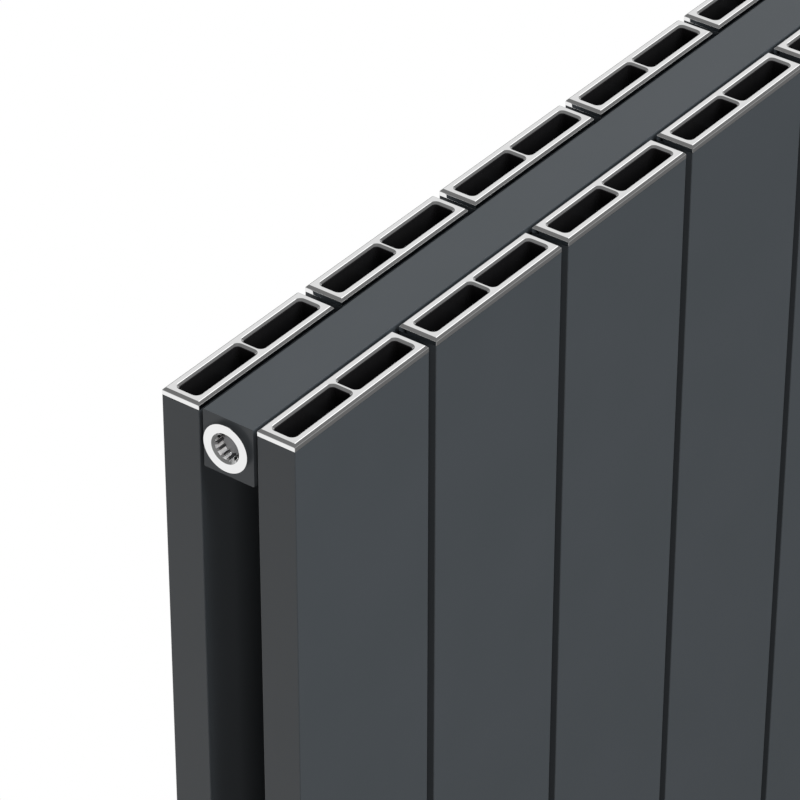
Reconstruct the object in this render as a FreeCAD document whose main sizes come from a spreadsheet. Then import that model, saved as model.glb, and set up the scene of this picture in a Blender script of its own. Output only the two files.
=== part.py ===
import FreeCAD, Part
import math
import os

import Sketcher
from FreeCAD import Placement, Rotation, Vector

# Double-row flat-panel aluminium radiator, hung on a wall by four hooks.
# Frame: the wall is the plane Y = 0 and the radiator hangs in front of it, on the -Y side, with
# +Z up. The origin is the middle of the rectangle of wall fixings. All sizes are in millimetres.

doc = FreeCAD.newDocument("panel_radiator")
sheet = doc.addObject("Spreadsheet::Sheet", "sizes")

DRIVING_SIZES = [
    ("column_count", 6, "flat columns in each row"),
    ("overall_height", 600, "over the end caps"),
    ("column_width", 90, "flat column, across its face"),
    ("column_depth", 19.5, "flat column, front to back"),
    ("column_gap", 5, "between neighbouring columns of a row"),
    ("column_edge_round", 0.5, "outer edges of the extrusion"),
    ("row_space", 29.8, "clear space between the two rows"),
    ("wall_gap", 35, "from the wall to the back of the rear row"),
    ("flue_wall", 2.4, "extrusion wall round the air flues"),
    ("flue_corner", 2.6, "inner corners of a flue"),
    ("web_width", 15.4, "solid web between the two flues of a column"),
    ("waterway_bore", 12, "round waterway in the web"),
    ("waterway_end", 3, "welded closure at each end of the waterway"),
    ("web_setback", 10.5, "web milled back at each end, for the collars of the cap"),
    ("cap_side", 2.3, "upright side of an end cap, below its bevel"),
    ("cap_bevel", 1.15, "outer bevel of an end cap"),
    ("cap_rim", 3.45, "top of the cap from its edge to a slot's bevel"),
    ("cap_bridge", 1.15, "flat strip left between the two slots"),
    ("slot_bevel", 1.15, "bevel round a slot's mouth"),
    ("slot_corner", 1.85, "corner of the slot below its bevel"),
    ("cap_spigot", 10, "collar round each slot, down into the column"),
    ("collar_split", 0.6, "between the two collars of a cap"),
    ("spigot_clearance", 0.15, "round every spigot"),
    ("header_width", 26, "square header tube, front to back"),
    ("header_height", 28.4, "square header tube, top to bottom"),
    ("header_wall", 2.5, "wall of the header tube"),
    ("header_edge_round", 0.6, "outer edges of the header tube"),
    ("header_drop", 1.4, "header's outer face below the caps' ends"),
    ("block_length", 16, "end block that closes the header"),
    ("block_spigot", 6, "end block's spigot inside the tube"),
    ("port_radius", 9.3, "G1/2 thread, crest radius of the tapped hole"),
    ("port_rise", 0.8, "port axis from the header's middle, towards the caps"),
    ("seal_seat_radius", 10.9, "counterbore for the port seal"),
    ("seal_thickness", 1.5, "seal, and the depth of its seat"),
    ("nipple_radius", 4.5, "connecting nipple, outside"),
    ("nipple_bore", 3.3, "connecting nipple, inside radius"),
    ("nipple_drop", 6.2, "nipple axis from the header's middle, away from the caps"),
    ("nipple_reach", 4.6, "nipple inside the column"),
    ("nipple_stand", 0.6, "nipple past the header's inner wall"),
    ("nipple_clearance", 0.05, "round the nipple"),
    ("flange_radius", 11.3, "plug flange"),
    ("flange_thickness", 2.2, "plug flange"),
    ("flange_edge_round", 0.35, "outer edge of the plug flange"),
    ("shank_length", 10, "threaded shank of a plug"),
    ("shank_clearance", 0.1, "round the shank, thread not cut"),
    ("mouth_radius", 7.25, "countersunk mouth of the key recess"),
    ("mouth_depth", 1.75, "countersunk mouth of the key recess"),
    ("key_radius", 5.25, "key recess, over the teeth between its grooves"),
    ("key_depth", 5.9, "key recess, from the flange's face"),
    ("spline_count", 12, "grooves of the key recess"),
    ("spline_width", 1.9, "groove of the key recess"),
    ("spline_depth", 0.85, "groove of the key recess"),
    ("spline_turn", 18.2, "first groove from upright, in degrees"),
    ("neck_radius", 6, "vent neck that carries the nozzle ring"),
    ("neck_length", 7, "vent neck, up to its lip"),
    ("lip_radius", 6.8, "lip that keeps the nozzle ring on"),
    ("lip_thickness", 1, "lip that keeps the nozzle ring on"),
    ("nozzle_radius", 8.6, "nozzle ring, outside"),
    ("nozzle_clearance", 0.05, "running clearance of the nozzle ring"),
    ("nozzle_end_play", 0.25, "each side of the nozzle ring"),
    ("spout_radius", 2, "drain spout of the nozzle ring"),
    ("spout_reach", 4.5, "spout past the ring"),
    ("spout_bore", 1, "drain spout, inside radius"),
    ("vent_well_radius", 4.3, "well round the bleed screw's head"),
    ("vent_well_depth", 5, "well round the bleed screw's head"),
    ("screw_radius", 2.5, "bleed screw spindle"),
    ("screw_clearance", 0.05, "round the spindle"),
    ("screw_head", 5, "square of the bleed screw's head"),
    ("screw_head_length", 6.5, "bleed screw's head"),
    ("screw_slot_width", 1, "driver slot"),
    ("screw_slot_depth", 1.6, "driver slot"),
    ("bracket_thickness", 3, "steel plate of a wall bracket"),
    ("bracket_width", 34, "wall flange of a bracket"),
    ("bracket_height", 62, "wall flange of a bracket"),
    ("bracket_corner", 4, "corners of the wall flange"),
    ("bend_radius", 1.5, "inside of the fold between flange and arm"),
    ("hook_round", 1.5, "outer corners of the hook"),
    ("seat_height", 73, "header seat above the flange's foot"),
    ("arm_depth", 13, "arm below the header seat"),
    ("hook_lip", 5, "hook in front of the header, front to back"),
    ("hook_rise", 9, "hook in front of the header, upwards"),
    ("arm_rise", 16, "arm behind the header, above the seat"),
    ("wall_slot_width", 7, "wall fixing slot"),
    ("wall_slot_length", 14, "wall fixing slot, end to end"),
    ("wall_slot_inset", 14, "wall fixing slot below the flange's top"),
    ("lock_hole_radius", 3, "locking screw hole"),
    ("lock_hole_inset", 14, "locking screw hole above the flange's foot"),
    ("pad_thickness", 1.2, "plastic liner between hook and header"),
    ("pad_width", 9, "plastic liner, along the header"),
    ("pad_rise", 7, "plastic liner, up the header's sides"),
]

for row, (alias, number, note) in enumerate(DRIVING_SIZES, start=1):
    sheet.set("A%d" % row, note)
    sheet.set("B%d" % row, str(number))
    sheet.setAlias("B%d" % row, alias)
doc.recompute()

# Formulas that several pieces share.
COLUMN_PITCH = "(sizes.column_width + sizes.column_gap)"
HALF_WIDTH = "((sizes.column_count * %s - sizes.column_gap) / 2)" % COLUMN_PITCH
HALF_HEIGHT = "(sizes.overall_height / 2)"
CAP_HEIGHT = "(sizes.cap_side + sizes.cap_bevel)"
COLUMN_LENGTH = "(sizes.overall_height - 2 * %s)" % CAP_HEIGHT
HEADER_GAP = "((sizes.row_space - sizes.header_width) / 2)"
REAR_ROW_FRONT = "(-sizes.wall_gap - sizes.column_depth)"
FRONT_ROW_BACK = "(%s - sizes.row_space)" % REAR_ROW_FRONT
HEADER_BACK = "(%s - %s)" % (REAR_ROW_FRONT, HEADER_GAP)
HEADER_FRONT = "(%s - sizes.header_width)" % HEADER_BACK
HEADER_MIDDLE = "(%s - sizes.header_width / 2)" % HEADER_BACK
HEADER_INNER_EDGE = "(%s - sizes.header_drop - sizes.header_height)" % HALF_HEIGHT
HEADER_LEVEL = "(%s + sizes.header_height / 2)" % HEADER_INNER_EDGE
NIPPLE_LEVEL = "(%s - sizes.nipple_drop)" % HEADER_LEVEL
PORT_LEVEL = "(%s + sizes.port_rise)" % HEADER_LEVEL
FLUE_LENGTH = "((sizes.column_width - sizes.web_width) / 2 - sizes.flue_wall)"
FLUE_DEPTH = "(sizes.column_depth - 2 * sizes.flue_wall)"
RIGHT_FLUE_START = "(sizes.column_width / 2 + sizes.web_width / 2)"
SHANK_RADIUS = "(sizes.port_radius - sizes.shank_clearance)"

# Half turns that put a piece at the other end, the other row or the other header.
AS_DRAWN = Rotation()
TURNED_END_FOR_END = Rotation(Vector(0, 0, 1), 180)
TURNED_UPSIDE_DOWN = Rotation(Vector(1, 0, 0), 180)
TURNED_ROUND_DEPTH = Rotation(Vector(0, 1, 0), 180)
FACING_LEFT = Rotation(Vector(0, 1, 0), -90)
FACING_RIGHT = Rotation(Vector(0, 1, 0), 90)


def size(formula):
    """The number, in millimetres, that a formula in the named sizes comes to."""
    return float(sheet.evalExpression(formula))


def new_body(label, turn, across, along, up):
    """Body at a place given by three formulas, turned as said."""
    body = doc.addObject("PartDesign::Body", label)
    body.Label = label
    body.Placement = Placement(Vector(size(across), size(along), size(up)), turn)
    body.setExpression("Placement.Base.x", across)
    body.setExpression("Placement.Base.y", along)
    body.setExpression("Placement.Base.z", up)
    return body


def new_sketch(body, role, name, offset="0"):
    """Sketch on one of the body's own origin planes, moved along its normal by a formula."""
    sketch = body.newObject("Sketcher::SketchObject", body.Label + "_" + name)
    plane = [feature for feature in body.Origin.OriginFeatures if feature.Role == role][0]
    sketch.AttachmentSupport = [(plane, "")]
    sketch.MapMode = "FlatFace"
    if offset != "0":
        sketch.setExpression("AttachmentOffset.Base.z", offset)
    return sketch


def hold(sketch, name, formula, kind, *places):
    """Dimension bound to a formula."""
    number = sketch.addConstraint(Sketcher.Constraint(kind, *places, size(formula)))
    sketch.renameConstraint(number, name)
    sketch.setExpression("Constraints." + name, formula)


def draw_outline(sketch, tag, corners):
    """Closed outline of straight sides, each corner held by two formulas."""
    points = [Vector(size(across), size(up), 0) for across, up in corners]
    first = sketch.GeometryCount
    for number, point in enumerate(points):
        sketch.addGeometry(Part.LineSegment(point, points[(number + 1) % len(points)]))
    for number, (across, up) in enumerate(corners):
        line = first + number
        following = first + (number + 1) % len(points)
        sketch.addConstraint(Sketcher.Constraint("Coincident", line, 2, following, 1))
        hold(sketch, "%s_across_%d" % (tag, number), across, "DistanceX", -1, 1, line, 1)
        hold(sketch, "%s_up_%d" % (tag, number), up, "DistanceY", -1, 1, line, 1)


def draw_rounded(sketch, tag, left, low, width, height, radius):
    """Rectangle with round corners, held by its lower left corner, size and radius."""
    r = size(radius)
    x0, x1 = size(left), size(left) + size(width)
    y0, y1 = size(low), size(low) + size(height)
    quarter = math.pi / 2
    first = sketch.GeometryCount
    sides = [
        (Vector(x0 + r, y0, 0), Vector(x1 - r, y0, 0), Vector(x1 - r, y0 + r, 0)),
        (Vector(x1, y0 + r, 0), Vector(x1, y1 - r, 0), Vector(x1 - r, y1 - r, 0)),
        (Vector(x1 - r, y1, 0), Vector(x0 + r, y1, 0), Vector(x0 + r, y1 - r, 0)),
        (Vector(x0, y1 - r, 0), Vector(x0, y0 + r, 0), Vector(x0 + r, y0 + r, 0)),
    ]
    for number, (start, end, centre) in enumerate(sides):
        sketch.addGeometry(Part.LineSegment(start, end))
        circle = Part.Circle(centre, Vector(0, 0, 1), r)
        sketch.addGeometry(Part.ArcOfCircle(circle, (number - 1) * quarter, number * quarter))
    for number in range(8):
        following = first + (number + 1) % 8
        sketch.addConstraint(Sketcher.Constraint("Tangent", first + number, 2, following, 1))
    for number, direction in ((0, "Horizontal"), (2, "Vertical"), (4, "Horizontal"), (6, "Vertical")):
        sketch.addConstraint(Sketcher.Constraint(direction, first + number))
    for number in (1, 3, 5):
        sketch.addConstraint(Sketcher.Constraint("Equal", first + number, first + number + 2))
    hold(sketch, tag + "_radius", radius, "Radius", first + 1)
    hold(sketch, tag + "_width", width, "DistanceX", first + 6, 1, first + 2, 1)
    hold(sketch, tag + "_height", height, "DistanceY", first, 1, first + 4, 1)
    hold(sketch, tag + "_left", left, "DistanceX", -1, 1, first + 6, 1)
    hold(sketch, tag + "_low", low, "DistanceY", -1, 1, first, 1)


def draw_circle(sketch, tag, across, up, radius):
    """Circle held by its centre and radius."""
    first = sketch.GeometryCount
    centre = Vector(size(across), size(up), 0)
    sketch.addGeometry(Part.Circle(centre, Vector(0, 0, 1), size(radius)))
    hold(sketch, tag + "_radius", radius, "Radius", first)
    hold(sketch, tag + "_across", across, "DistanceX", -1, 1, first, 3)
    hold(sketch, tag + "_up", up, "DistanceY", -1, 1, first, 3)


def pad(sketch, length, reverse=False):
    """Pad of a sketch along its normal, or against it when reversed."""
    body = sketch.getParentGeoFeatureGroup()
    feature = body.newObject("PartDesign::Pad", sketch.Label + "_pad")
    feature.Profile = sketch
    feature.Reversed = reverse
    feature.setExpression("Length", length)
    return feature


def pocket(sketch, length=None, reverse=False):
    """Pocket against the sketch's normal, or along it when reversed; right through by default."""
    body = sketch.getParentGeoFeatureGroup()
    feature = body.newObject("PartDesign::Pocket", sketch.Label + "_pocket")
    feature.Profile = sketch
    feature.Reversed = reverse
    if length is None:
        feature.Type = "ThroughAll"
    else:
        feature.setExpression("Length", length)
    return feature


def round_feature(body, kind, name, radius, radius_top, height, level):
    """Cylinder or cone on the body's Z axis, added or cut, from a level upwards."""
    feature = body.newObject("PartDesign::" + kind, body.Label + "_" + name)
    if kind.endswith("Cone"):
        feature.setExpression("Radius1", radius)
        feature.setExpression("Radius2", radius_top)
    else:
        feature.setExpression("Radius", radius)
    feature.setExpression("Height", height)
    feature.setExpression("Placement.Base.z", level)
    return feature


def dress_edges(body, kind, name, base, amount, chosen):
    """Fillet or chamfer on the edges of a feature that a test picks."""
    doc.recompute()
    names = []
    for number, edge in enumerate(base.Shape.Edges, start=1):
        if chosen(edge):
            names.append("Edge%d" % number)
    feature = body.newObject("PartDesign::" + kind, body.Label + "_" + name)
    feature.Base = (base, names)
    feature.setExpression("Radius" if kind == "Fillet" else "Size", amount)
    return feature


def near(a, b):
    """Whether two lengths are the same to a ten-thousandth of a millimetre."""
    return abs(a - b) < 1e-4


def edge_lies_at(edge, level):
    """Whether the whole edge lies in the horizontal plane at that level."""
    return near(edge.BoundBox.ZMin, level) and near(edge.BoundBox.ZMax, level)


# ---- Flat column: one aluminium extrusion -------------------------------------------------------
# Two air flues either side of a web; the waterway in the web is closed at both ends and is
# tapped towards the header at both levels. Each end of the web is milled back for the cap.


def make_column(label, turn, across, along):
    body = new_body(label, turn, across, along, "-%s / 2" % COLUMN_LENGTH)
    profile = new_sketch(body, "XY_Plane", "profile")
    draw_rounded(
        profile, "skin", "0", "0", "sizes.column_width", "sizes.column_depth", "sizes.column_edge_round"
    )
    for tag, left in (("left_flue", "sizes.flue_wall"), ("right_flue", RIGHT_FLUE_START)):
        draw_rounded(profile, tag, left, "sizes.flue_wall", FLUE_LENGTH, FLUE_DEPTH, "sizes.flue_corner")
    pad(profile, COLUMN_LENGTH)
    milled_start = "(%s - sizes.web_width - sizes.flue_corner)" % RIGHT_FLUE_START
    milled_end = "(%s + sizes.flue_corner)" % RIGHT_FLUE_START
    far_side = "(sizes.flue_wall + %s)" % FLUE_DEPTH
    for tag, level, upwards in (("low", "0", True), ("high", COLUMN_LENGTH, False)):
        milled = new_sketch(body, "XY_Plane", "milled_%s_end" % tag, level)
        draw_outline(
            milled,
            "edge",
            [
                (milled_start, "sizes.flue_wall"),
                (milled_end, "sizes.flue_wall"),
                (milled_end, far_side),
                (milled_start, far_side),
            ],
        )
        pocket(milled, "sizes.web_setback", reverse=upwards)
    waterway_start = "(sizes.web_setback + sizes.waterway_end)"
    waterway = new_sketch(body, "XY_Plane", "waterway", waterway_start)
    draw_circle(
        waterway, "bore", "sizes.column_width / 2", "sizes.column_depth / 2", "sizes.waterway_bore / 2"
    )
    pocket(waterway, "%s - 2 * %s" % (COLUMN_LENGTH, waterway_start), reverse=True)
    taps = new_sketch(body, "XZ_Plane", "taps", "-sizes.column_depth")
    radius = "sizes.nipple_radius + sizes.nipple_clearance"
    for tag, level in (
        ("upper", "%s / 2 + %s" % (COLUMN_LENGTH, NIPPLE_LEVEL)),
        ("lower", "%s / 2 - %s" % (COLUMN_LENGTH, NIPPLE_LEVEL)),
    ):
        draw_circle(taps, tag, "sizes.column_width / 2", level, radius)
    pocket(taps, "sizes.column_depth / 2", reverse=True)
    return body


# ---- End cap: bevelled chrome frame with two slots ----------------------------------------------
# It sits on the column's cut end, and a collar round each slot goes down into the column.


def make_cap(label, turn, across, along, up):
    body = new_body(label, turn, across, along, up)
    plate = new_sketch(body, "XY_Plane", "plate")
    right, back = "sizes.column_width", "sizes.column_depth"
    draw_outline(plate, "edge", [("0", "0"), (right, "0"), (right, back), ("0", back)])
    pad(plate, CAP_HEIGHT)
    collars = new_sketch(body, "XY_Plane", "collars")
    inset = "sizes.spigot_clearance"
    collar_start = "(sizes.flue_wall + %s)" % inset
    collar_length = "((sizes.column_width - sizes.collar_split) / 2 - %s)" % collar_start
    right_collar = "((sizes.column_width + sizes.collar_split) / 2)"
    for tag, left in (("left", collar_start), ("right", right_collar)):
        draw_rounded(
            collars,
            tag,
            left,
            collar_start,
            collar_length,
            "%s - 2 * %s" % (FLUE_DEPTH, inset),
            "sizes.flue_corner - %s" % inset,
        )
    pad(collars, "sizes.cap_spigot", reverse=True)
    slots = new_sketch(body, "XY_Plane", "slots", CAP_HEIGHT)
    margin = "(sizes.cap_rim + sizes.slot_bevel)"
    slot_length = "(sizes.column_width / 2 - sizes.cap_bridge / 2 - sizes.slot_bevel - %s)" % margin
    right_start = "sizes.column_width / 2 + sizes.cap_bridge / 2 + sizes.slot_bevel"
    for tag, left in (("left", margin), ("right", right_start)):
        draw_rounded(
            slots,
            tag,
            left,
            margin,
            slot_length,
            "sizes.column_depth - 2 * %s" % margin,
            "sizes.slot_corner",
        )
    opened = pocket(slots)
    top = size(CAP_HEIGHT)
    width, depth = size("sizes.column_width"), size("sizes.column_depth")

    def on_the_edge(edge):
        middle = edge.CenterOfMass
        return near(middle.x, 0) or near(middle.x, width) or near(middle.y, 0) or near(middle.y, depth)

    bevelled = dress_edges(
        body,
        "Chamfer",
        "outer_bevel",
        opened,
        "sizes.cap_bevel",
        lambda edge: edge_lies_at(edge, top) and on_the_edge(edge),
    )
    inner = size("sizes.cap_bevel")
    dress_edges(
        body,
        "Chamfer",
        "slot_bevel",
        bevelled,
        "sizes.slot_bevel",
        lambda edge: edge_lies_at(edge, top)
        and inner + 0.01 < edge.CenterOfMass.x < width - inner - 0.01
        and inner + 0.01 < edge.CenterOfMass.y < depth - inner - 0.01,
    )
    return body


columns = int(size("sizes.column_count"))
for index in range(columns):
    left_edge = "%d * %s - %s" % (index, COLUMN_PITCH, HALF_WIDTH)
    right_edge = "%s + sizes.column_width" % left_edge
    number = index + 1
    make_column("front_column_%d" % number, AS_DRAWN, left_edge, "%s - sizes.column_depth" % FRONT_ROW_BACK)
    make_column("rear_column_%d" % number, TURNED_END_FOR_END, right_edge, "-sizes.wall_gap")
    rows = (("front", "(%s - sizes.column_depth)" % FRONT_ROW_BACK), ("rear", REAR_ROW_FRONT))
    for row_name, row_front in rows:
        make_cap(
            "%s_top_cap_%d" % (row_name, number), AS_DRAWN, left_edge, row_front, "%s / 2" % COLUMN_LENGTH
        )
        make_cap(
            "%s_bottom_cap_%d" % (row_name, number),
            TURNED_UPSIDE_DOWN,
            left_edge,
            "%s + sizes.column_depth" % row_front,
            "-%s / 2" % COLUMN_LENGTH,
        )

# ---- Header: square tube between the rows, drilled for the nipples ------------------------------


def make_header(label, bottom_edge, nipple_offset):
    body = new_body(label, AS_DRAWN, "sizes.block_length - %s" % HALF_WIDTH, HEADER_FRONT, bottom_edge)
    section = new_sketch(body, "YZ_Plane", "section")
    draw_rounded(
        section, "outside", "0", "0", "sizes.header_width", "sizes.header_height", "sizes.header_edge_round"
    )
    wall = "sizes.header_wall"
    across, up = "sizes.header_width - " + wall, "sizes.header_height - " + wall
    draw_outline(section, "inside", [(wall, wall), (across, wall), (across, up), (wall, up)])
    pad(section, "2 * (%s - sizes.block_length)" % HALF_WIDTH)
    hole = new_sketch(body, "XZ_Plane", "nipple_hole")
    draw_circle(
        hole,
        "hole",
        "sizes.column_width / 2 - sizes.block_length",
        "sizes.header_height / 2 %s" % nipple_offset,
        "sizes.nipple_radius + sizes.nipple_clearance",
    )
    drilled = pocket(hole)
    pattern = body.newObject("PartDesign::LinearPattern", label + "_nipple_holes")
    pattern.Originals = [drilled]
    pattern.Direction = (hole, ["H_Axis"])
    pattern.setExpression("Length", "%s * (sizes.column_count - 1)" % COLUMN_PITCH)
    pattern.setExpression("Occurrences", "sizes.column_count")
    body.Tip = pattern
    return body


make_header("top_header", HEADER_INNER_EDGE, "- sizes.nipple_drop")
make_header("bottom_header", "-%s - sizes.header_height" % HEADER_INNER_EDGE, "+ sizes.nipple_drop")

# ---- Header end block: closes the tube and holds a tapped port ----------------------------------


def make_end_block(label, turn, across, along, up):
    body = new_body(label, turn, across, along, up)
    face = new_sketch(body, "YZ_Plane", "face")
    draw_rounded(
        face, "outside", "0", "0", "sizes.header_width", "sizes.header_height", "sizes.header_edge_round"
    )
    pad(face, "sizes.block_length")
    spigot = new_sketch(body, "YZ_Plane", "spigot", "sizes.block_length")
    low = "sizes.header_wall + sizes.spigot_clearance"
    across, up = "sizes.header_width - (%s)" % low, "sizes.header_height - (%s)" % low
    draw_outline(spigot, "edge", [(low, low), (across, low), (across, up), (low, up)])
    pad(spigot, "sizes.block_spigot")
    axis = ("sizes.header_width / 2", "sizes.header_height / 2 + sizes.port_rise")
    port = new_sketch(body, "YZ_Plane", "port")
    draw_circle(port, "bore", *axis, "sizes.port_radius")
    pocket(port, reverse=True)
    seat = new_sketch(body, "YZ_Plane", "seal_seat")
    draw_circle(seat, "seat", *axis, "sizes.seal_seat_radius")
    pocket(seat, "sizes.seal_thickness", reverse=True)
    return body


LEFT_END = "-" + HALF_WIDTH
make_end_block("top_left_end_block", AS_DRAWN, LEFT_END, HEADER_FRONT, HEADER_INNER_EDGE)
make_end_block("top_right_end_block", TURNED_END_FOR_END, HALF_WIDTH, HEADER_BACK, HEADER_INNER_EDGE)
LOW_EDGE = "-" + HEADER_INNER_EDGE
make_end_block("bottom_left_end_block", TURNED_UPSIDE_DOWN, LEFT_END, HEADER_BACK, LOW_EDGE)
make_end_block("bottom_right_end_block", TURNED_ROUND_DEPTH, HALF_WIDTH, HEADER_FRONT, LOW_EDGE)

# ---- Nipples: short tubes from the header into every column -------------------------------------


def make_nipples(label, level):
    reach = size("sizes.nipple_reach")
    length = reach + size(HEADER_GAP) + size("sizes.header_wall") + size("sizes.nipple_stand")
    tubes = []
    for index in range(columns):
        middle = index * size(COLUMN_PITCH) + size("sizes.column_width") / 2 - size(HALF_WIDTH)
        for column_face, inward in ((size(FRONT_ROW_BACK), 1), (size(REAR_ROW_FRONT), -1)):
            start = Vector(middle, column_face - inward * reach, size(level))
            direction = Vector(0, inward, 0)
            outside = Part.makeCylinder(size("sizes.nipple_radius"), length, start, direction)
            inside = Part.makeCylinder(size("sizes.nipple_bore"), length, start, direction)
            tubes.append(outside.cut(inside))
    group = doc.addObject("Part::Feature", label)
    group.Label = label
    group.Shape = Part.makeCompound(tubes)
    return group


make_nipples("top_header_nipples", NIPPLE_LEVEL)
make_nipples("bottom_header_nipples", "-" + NIPPLE_LEVEL)

# ---- Chrome plugs: the blanking plug and the vent body ------------------------------------------
# Both are turned pieces, drawn along Z with the header's end face at zero and outwards up.


def make_flanged_shank(label, turn, across):
    body = new_body(label, turn, across, HEADER_MIDDLE, PORT_LEVEL)
    reach = "sizes.shank_length"
    round_feature(body, "AdditiveCylinder", "shank", SHANK_RADIUS, None, reach, "-" + reach)
    flange = round_feature(
        body, "AdditiveCylinder", "flange", "sizes.flange_radius", None, "sizes.flange_thickness", "0"
    )
    face = size("sizes.flange_thickness")
    dress_edges(
        body,
        "Fillet",
        "flange_edge",
        flange,
        "sizes.flange_edge_round",
        lambda edge: edge_lies_at(edge, face) and edge.Closed,
    )
    return body


turned_splines = FACING_LEFT * Rotation(Vector(0, 0, 1), size("sizes.spline_turn"))
blanking_plug = make_flanged_shank("blanking_plug", turned_splines, LEFT_END)
round_feature(
    blanking_plug,
    "SubtractiveCylinder",
    "key_recess",
    "sizes.key_radius",
    None,
    "sizes.key_depth",
    "sizes.flange_thickness - sizes.key_depth",
)
round_feature(
    blanking_plug,
    "SubtractiveCone",
    "mouth",
    "sizes.key_radius",
    "sizes.mouth_radius",
    "sizes.mouth_depth",
    "sizes.flange_thickness - sizes.mouth_depth",
)
spline = new_sketch(blanking_plug, "XY_Plane", "spline", "sizes.flange_thickness")
start, end = "sizes.key_radius - 2 * sizes.spline_depth", "sizes.key_radius + sizes.spline_depth"
side = "sizes.spline_width / 2"
draw_outline(spline, "edge", [(start, "-" + side), (end, "-" + side), (end, side), (start, side)])
spline_cut = pocket(spline, "sizes.key_depth")
splines = blanking_plug.newObject("PartDesign::PolarPattern", "blanking_plug_splines")
splines.Originals = [spline_cut]
splines.Axis = (spline, ["N_Axis"])
splines.Angle = 360
splines.setExpression("Occurrences", "sizes.spline_count")
blanking_plug.Tip = splines

vent_plug = make_flanged_shank("vent_plug", FACING_RIGHT, HALF_WIDTH)
NECK_TOP = "(sizes.flange_thickness + sizes.neck_length)"
round_feature(
    vent_plug,
    "AdditiveCylinder",
    "neck",
    "sizes.neck_radius",
    None,
    "sizes.neck_length",
    "sizes.flange_thickness",
)
round_feature(vent_plug, "AdditiveCylinder", "lip", "sizes.lip_radius", None, "sizes.lip_thickness", NECK_TOP)
WELL_FLOOR = "(%s + sizes.lip_thickness - sizes.vent_well_depth)" % NECK_TOP
round_feature(
    vent_plug,
    "SubtractiveCylinder",
    "well",
    "sizes.vent_well_radius",
    None,
    "sizes.vent_well_depth",
    WELL_FLOOR,
)
round_feature(
    vent_plug,
    "SubtractiveCylinder",
    "screw_bore",
    "sizes.screw_radius + sizes.screw_clearance",
    None,
    "%s + sizes.shank_length" % WELL_FLOOR,
    "-sizes.shank_length",
)

# ---- Nozzle ring: swivels on the vent's neck and turns its drain spout down ---------------------

nozzle_ring = new_body("nozzle_ring", FACING_RIGHT, HALF_WIDTH, HEADER_MIDDLE, PORT_LEVEL)
RING_FLOOR = "(sizes.flange_thickness + sizes.nozzle_end_play)"
RING_HEIGHT = "(sizes.neck_length - 2 * sizes.nozzle_end_play)"
round_feature(nozzle_ring, "AdditiveCylinder", "ring", "sizes.nozzle_radius", None, RING_HEIGHT, RING_FLOOR)
spout = new_sketch(nozzle_ring, "YZ_Plane", "spout")
RING_MIDDLE = "%s + %s / 2" % (RING_FLOOR, RING_HEIGHT)
draw_circle(spout, "outside", "0", RING_MIDDLE, "sizes.spout_radius")
pad(spout, "sizes.nozzle_radius + sizes.spout_reach")
round_feature(
    nozzle_ring,
    "SubtractiveCylinder",
    "bearing",
    "sizes.neck_radius + sizes.nozzle_clearance",
    None,
    RING_HEIGHT,
    RING_FLOOR,
)
drain = new_sketch(nozzle_ring, "YZ_Plane", "drain")
draw_circle(drain, "bore", "0", RING_MIDDLE, "sizes.spout_bore")
pocket(drain, reverse=True)

# ---- Bleed screw: square-headed spindle, a half turn opens the vent -----------------------------

bleed_screw = new_body("bleed_screw", FACING_RIGHT, HALF_WIDTH, HEADER_MIDDLE, PORT_LEVEL)
round_feature(
    bleed_screw,
    "AdditiveCylinder",
    "spindle",
    "sizes.screw_radius",
    None,
    "%s + sizes.shank_length" % WELL_FLOOR,
    "-sizes.shank_length",
)
head = new_sketch(bleed_screw, "XY_Plane", "head", WELL_FLOOR)
low, high = "-sizes.screw_head / 2", "sizes.screw_head / 2"
draw_outline(head, "edge", [(low, low), (high, low), (high, high), (low, high)])
pad(head, "sizes.screw_head_length")
slot = new_sketch(bleed_screw, "XY_Plane", "driver_slot", "%s + sizes.screw_head_length" % WELL_FLOOR)
low_side, high_side = "-sizes.screw_slot_width / 2", "sizes.screw_slot_width / 2"
draw_outline(slot, "edge", [(low, low_side), (high, low_side), (high, high_side), (low, high_side)])
pocket(slot, "sizes.screw_slot_depth")

# ---- Port seals: flat rings in the end blocks' seats --------------------------------------------

for label, turn, across in (
    ("plug_seal", FACING_LEFT, LEFT_END),
    ("vent_seal", FACING_RIGHT, HALF_WIDTH),
):
    seal = new_body(label, turn, across, HEADER_MIDDLE, PORT_LEVEL)
    outside = "sizes.seal_seat_radius - sizes.shank_clearance"
    thick = "sizes.seal_thickness"
    round_feature(seal, "AdditiveCylinder", "ring", outside, None, thick, "-" + thick)
    round_feature(seal, "SubtractiveCylinder", "hole", "sizes.port_radius", None, thick, "-" + thick)

# ---- Wall brackets: folded steel hooks through the gaps of the rear row -------------------------
# Drawn with the wall flange at y = 0 and the arm reaching towards +y, then turned to face the
# radiator. The arm is folded from the flange's left or right edge.

FOLD_REACH = "(sizes.bend_radius + sizes.bracket_thickness)"
ARM_BACK = "(-%s - sizes.pad_thickness)" % HEADER_BACK
ARM_FRONT = "(-%s + sizes.pad_thickness)" % HEADER_FRONT
SEAT_LEVEL = "(%s - sizes.pad_thickness)" % HEADER_INNER_EDGE


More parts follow.
